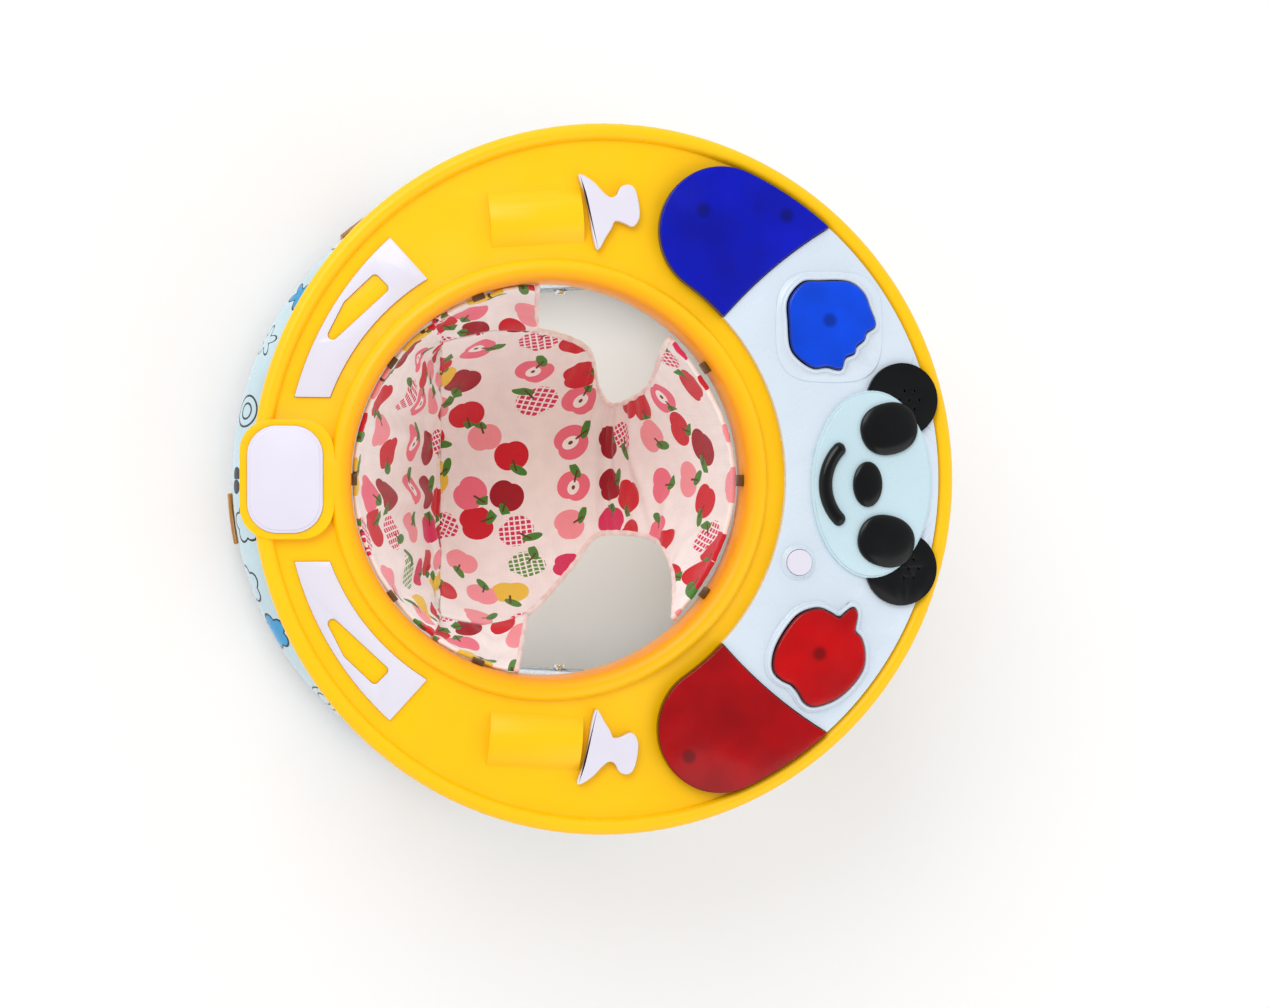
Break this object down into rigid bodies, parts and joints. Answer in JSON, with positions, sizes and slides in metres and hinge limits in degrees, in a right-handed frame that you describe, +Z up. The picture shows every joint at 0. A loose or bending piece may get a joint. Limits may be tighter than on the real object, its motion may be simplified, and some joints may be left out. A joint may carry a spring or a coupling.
{
  "type": "baby walker",
  "caption": "Round baby walker with a moulded toy tray, a hung printed cloth seat, a folding crossed tube frame and a ring base on swivel casters.",
  "frame": {"origin": "Centre of the ring base on the floor.", "axes": "+X points forward, to the toy panel; +Y is the child's left; +Z is up."},
  "size_m": [0.671, 0.6616, 0.446],
  "materials": {
    "base_plastic": "moulded, light grey blue",
    "printed_film": null,
    "amber_plastic": "tinted amber plastic",
    "rubber": "matt rubber",
    "bracket_steel": "pressed steel",
    "chrome": "bright plating",
    "yoke_plastic": "moulded",
    "dark_plastic": "moulded",
    "yellow_plastic": "glossy moulded yellow",
    "badge_plastic": "pale lavender insert",
    "white_plastic": "glossy white",
    "hook_plastic": "dark brown moulded tabs",
    "panel_plastic": "glossy pale blue white",
    "blue_clear": "tinted translucent blue",
    "red_clear": "tinted translucent red",
    "face_plastic": "glossy pale",
    "black_plastic": "glossy black",
    "fruit_blue": "tinted translucent blue",
    "apple_red": "tinted translucent red",
    "board": "resin board",
    "seat_cloth": "cream cotton printed with apples"
  },
  "bodies": {
    "base": {"base_ring": "base_plastic", "base_print_cover": "printed_film", "rim_bumpers": "amber_plastic", "stop_pads": "rubber", "base_pivot_brackets": "bracket_steel", "base_hardware": "chrome", "slide_guides": "bracket_steel"},
    "inner_leg": {"inner_leg_tube": "chrome", "inner_leg_ends": "dark_plastic"},
    "outer_leg": {"outer_leg_tube": "chrome", "outer_leg_ends": "dark_plastic", "outer_leg_hardware": "chrome"},
    "tray": {"tray_shell": "yellow_plastic", "tray_underside": "yellow_plastic", "tray_pivot_brackets": "bracket_steel", "tray_pivot_pins": "chrome", "height_racks": "dark_plastic", "underside_screws": "chrome", "back_badge": "badge_plastic", "back_inlays": "white_plastic", "bottle_teats": "white_plastic", "seat_hooks": "hook_plastic", "toy_panel": "panel_plastic", "blue_cap": "blue_clear", "red_cap": "red_clear", "button_surrounds": "white_plastic", "panda_face": "face_plastic", "panda_ears": "black_plastic", "panda_features": "black_plastic", "fruit_spring": "chrome", "apple_spring": "chrome", "music_spring": "chrome", "speaker": "dark_plastic", "circuit_board": "board", "battery_box": "dark_plastic", "battery_door": "yellow_plastic", "seat_back": "seat_cloth", "seat_bottom": "seat_cloth", "seat_front": "seat_cloth"},
    "fruit_key": {"fruit_button": "fruit_blue"},
    "apple_key": {"apple_button": "apple_red"},
    "music_key": {"music_button": "white_plastic"},
    "caster_1": {"caster_yoke_1": "yoke_plastic", "caster_axle_1": "chrome"},
    "wheel_1": {"caster_wheel_1": "amber_plastic"},
    "caster_2": {"caster_yoke_2": "yoke_plastic", "caster_axle_2": "chrome"},
    "wheel_2": {"caster_wheel_2": "amber_plastic"},
    "caster_3": {"caster_yoke_3": "yoke_plastic", "caster_axle_3": "chrome"},
    "wheel_3": {"caster_wheel_3": "amber_plastic"},
    "caster_4": {"caster_yoke_4": "yoke_plastic", "caster_axle_4": "chrome"},
    "wheel_4": {"caster_wheel_4": "amber_plastic"},
    "caster_5": {"caster_yoke_5": "yoke_plastic", "caster_axle_5": "chrome"},
    "wheel_5": {"caster_wheel_5": "amber_plastic"},
    "caster_6": {"caster_yoke_6": "yoke_plastic", "caster_axle_6": "chrome"},
    "wheel_6": {"caster_wheel_6": "amber_plastic"}
  },
  "joints": [
    {"name": "frame_fold", "type": "hinge", "parent": "base", "child": "inner_leg", "pos_m": [-0.175, 0, 0.097], "axis": [0, 1, 0], "range_deg": [0, 23]},
    {"name": "frame_cross", "type": "hinge", "parent": "inner_leg", "child": "outer_leg", "pos_m": [-0.02, 0, 0.242], "axis": [0, 1, 0], "range_deg": [-46, 0]},
    {"name": "tray_level", "type": "hinge", "parent": "outer_leg", "child": "tray", "pos_m": [-0.175, 0, 0.387], "axis": [0, 1, 0], "range_deg": [0, 23]},
    {"name": "caster_swivel_1", "type": "hinge", "parent": "base", "child": "caster_1", "pos_m": [0.27791, 0.03412, 0.06], "axis": [0, 0, 1], "continuous": true},
    {"name": "wheel_spin_1", "type": "hinge", "parent": "caster_1", "child": "wheel_1", "pos_m": [0.29181, 0.03583, 0.022], "axis": [-0.1219, 0.9925, 0], "continuous": true},
    {"name": "caster_swivel_2", "type": "hinge", "parent": "base", "child": "caster_2", "pos_m": [0.10941, 0.25774, 0.06], "axis": [0, 0, 1], "continuous": true},
    {"name": "wheel_spin_2", "type": "hinge", "parent": "caster_2", "child": "wheel_2", "pos_m": [0.11488, 0.27063, 0.022], "axis": [-0.9205, 0.3907, 0], "continuous": true},
    {"name": "caster_swivel_3", "type": "hinge", "parent": "base", "child": "caster_3", "pos_m": [-0.16851, 0.22362, 0.06], "axis": [0, 0, 1], "continuous": true},
    {"name": "wheel_spin_3", "type": "hinge", "parent": "caster_3", "child": "wheel_3", "pos_m": [-0.17693, 0.2348, 0.022], "axis": [-0.7986, -0.6018, 0], "continuous": true},
    {"name": "caster_swivel_4", "type": "hinge", "parent": "base", "child": "caster_4", "pos_m": [-0.27791, -0.03412, 0.06], "axis": [0, 0, 1], "continuous": true},
    {"name": "wheel_spin_4", "type": "hinge", "parent": "caster_4", "child": "wheel_4", "pos_m": [-0.29181, -0.03583, 0.022], "axis": [0.1219, -0.9925, 0], "continuous": true},
    {"name": "caster_swivel_5", "type": "hinge", "parent": "base", "child": "caster_5", "pos_m": [-0.10941, -0.25774, 0.06], "axis": [0, 0, 1], "continuous": true},
    {"name": "wheel_spin_5", "type": "hinge", "parent": "caster_5", "child": "wheel_5", "pos_m": [-0.11488, -0.27063, 0.022], "axis": [0.9205, -0.3907, 0], "continuous": true},
    {"name": "caster_swivel_6", "type": "hinge", "parent": "base", "child": "caster_6", "pos_m": [0.16851, -0.22362, 0.06], "axis": [0, 0, 1], "continuous": true},
    {"name": "wheel_spin_6", "type": "hinge", "parent": "caster_6", "child": "wheel_6", "pos_m": [0.17693, -0.2348, 0.022], "axis": [0.7986, 0.6018, 0], "continuous": true},
    {"name": "fruit_press", "type": "slide", "parent": "tray", "child": "fruit_key", "axis": [0, 0, -1], "range_m": [0, 0.003], "stiffness_N_per_m": 800, "springref_m": -0.002, "deforming": ["fruit_spring"]},
    {"name": "apple_press", "type": "slide", "parent": "tray", "child": "apple_key", "axis": [0, 0, -1], "range_m": [0, 0.003], "stiffness_N_per_m": 800, "springref_m": -0.002, "deforming": ["apple_spring"]},
    {"name": "music_press", "type": "slide", "parent": "tray", "child": "music_key", "axis": [0, 0, -1], "range_m": [0, 0.003], "stiffness_N_per_m": 800, "springref_m": -0.002, "deforming": ["music_spring"]}
  ],
  "couplings": [
    {"joint": "frame_cross", "follows": "frame_fold", "ratio": -2},
    {"joint": "tray_level", "follows": "frame_fold", "ratio": 1}
  ]
}
